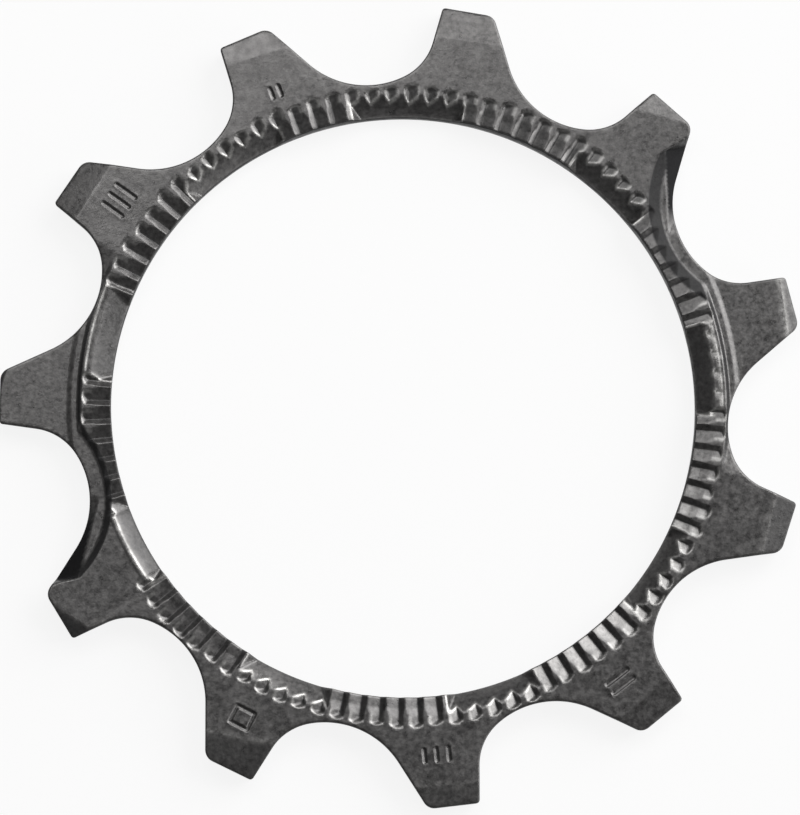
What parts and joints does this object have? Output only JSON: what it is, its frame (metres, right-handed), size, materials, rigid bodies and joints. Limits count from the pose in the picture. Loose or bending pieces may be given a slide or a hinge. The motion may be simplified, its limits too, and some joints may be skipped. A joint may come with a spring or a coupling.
{
  "type": "bicycle sprocket",
  "caption": "Small steel cassette sprocket with a large round bore, ratchet serrations round the bore on its pressed face, and lopsided teeth with bevelled tips and shift ramps",
  "frame": {"origin": "middle of the bore, on the plain back face", "axes": "+Z along the bore out of the pressed face with the serrations, which looks up as the sprocket lies flat; +X and +Y as the picture's right and top"},
  "size_m": [0.0458, 0.0462, 0.0018],
  "materials": {
    "steel": "dark, pressed and lightly worn, satin"
  },
  "bodies": {
    "root": {"sprocket": "steel"}
  },
  "joints": []
}
